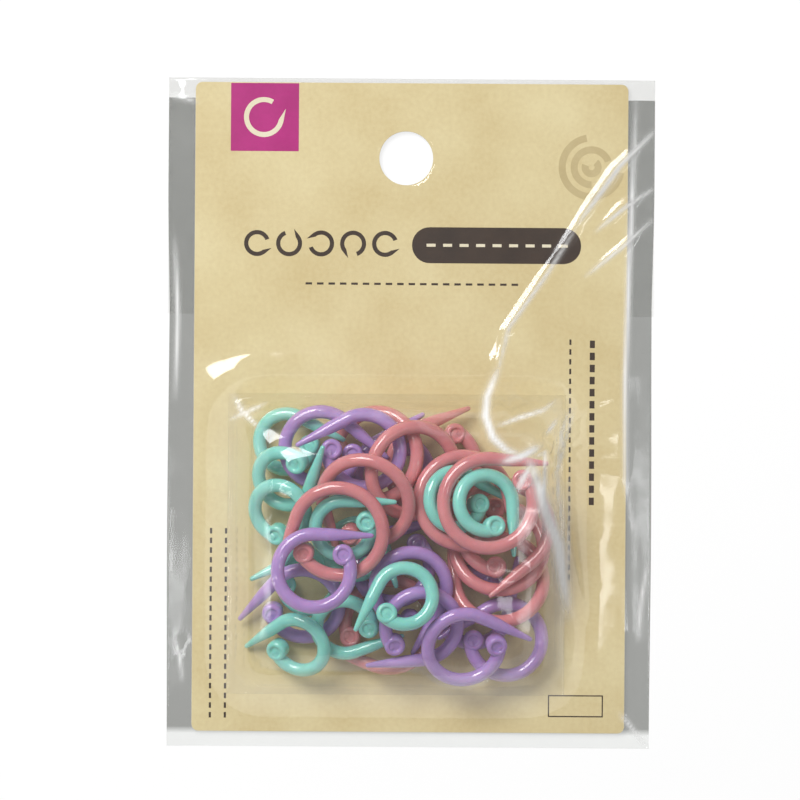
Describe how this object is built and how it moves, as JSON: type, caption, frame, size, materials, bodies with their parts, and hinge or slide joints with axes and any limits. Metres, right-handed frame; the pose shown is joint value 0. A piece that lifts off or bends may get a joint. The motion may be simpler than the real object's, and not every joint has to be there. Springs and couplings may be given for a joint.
{
  "type": "carded pack of stitch markers",
  "caption": "Clear hang bag with a flap, a holed card and a sealed pouch of loose open-ring stitch markers in three sizes, each with a disc and a pointed tail.",
  "frame": {"origin": "the middle of the bag in plan, on the plane that the pack lies on", "axes": "+X to the right across the card, +Y up the card towards the hang hole, +Z out of the face, away from the card"},
  "size_m": [0.072, 0.099, 0.014],
  "materials": {
    "marker_mint": "gloss, slightly translucent",
    "marker_lilac": "gloss, slightly translucent",
    "marker_pink": "gloss, slightly translucent",
    "card": "matt printed paperboard",
    "clear_film": "clear gloss film",
    "adhesive": "clear tacky strip"
  },
  "bodies": {
    "bag": {"bag_front": "clear_film", "bag_back": "clear_film"},
    "flap": {"bag_flap": "clear_film", "flap_adhesive": "adhesive"},
    "card": {"backing_card": "card"},
    "pouch": {"pouch_front": "clear_film", "pouch_back": "clear_film", "marker_large_01": "marker_pink", "marker_large_02": "marker_pink", "marker_large_03": "marker_pink", "marker_large_04": "marker_pink", "marker_large_05": "marker_pink", "marker_large_06": "marker_pink", "marker_large_07": "marker_pink", "marker_large_08": "marker_pink", "marker_large_09": "marker_pink", "marker_large_10": "marker_pink", "marker_large_11": "marker_pink", "marker_medium_01": "marker_lilac", "marker_medium_02": "marker_lilac", "marker_medium_03": "marker_lilac", "marker_medium_04": "marker_lilac", "marker_medium_05": "marker_lilac", "marker_medium_06": "marker_lilac", "marker_medium_07": "marker_lilac", "marker_medium_08": "marker_lilac", "marker_medium_09": "marker_lilac", "marker_medium_10": "marker_lilac", "marker_medium_11": "marker_lilac", "marker_small_01": "marker_mint", "marker_small_02": "marker_mint", "marker_small_03": "marker_mint", "marker_small_04": "marker_mint", "marker_small_05": "marker_mint", "marker_small_06": "marker_mint", "marker_small_07": "marker_mint", "marker_small_08": "marker_mint", "marker_small_09": "marker_mint", "marker_small_10": "marker_mint", "marker_small_11": "marker_mint"}
  },
  "joints": [
    {"name": "flap_hinge", "type": "hinge", "parent": "bag", "child": "flap", "pos_m": [0, 0.0495, 0.00008], "axis": [1, 0, 0], "range_deg": [0, 180]},
    {"name": "card_slide", "type": "slide", "parent": "bag", "child": "card", "axis": [0, 1, 0], "range_m": [0, 0.102], "deforming": ["bag_front"]},
    {"name": "pouch_slide", "type": "slide", "parent": "card", "child": "pouch", "axis": [0, 1, 0], "range_m": [0, 0.094], "deforming": ["bag_front"]}
  ]
}
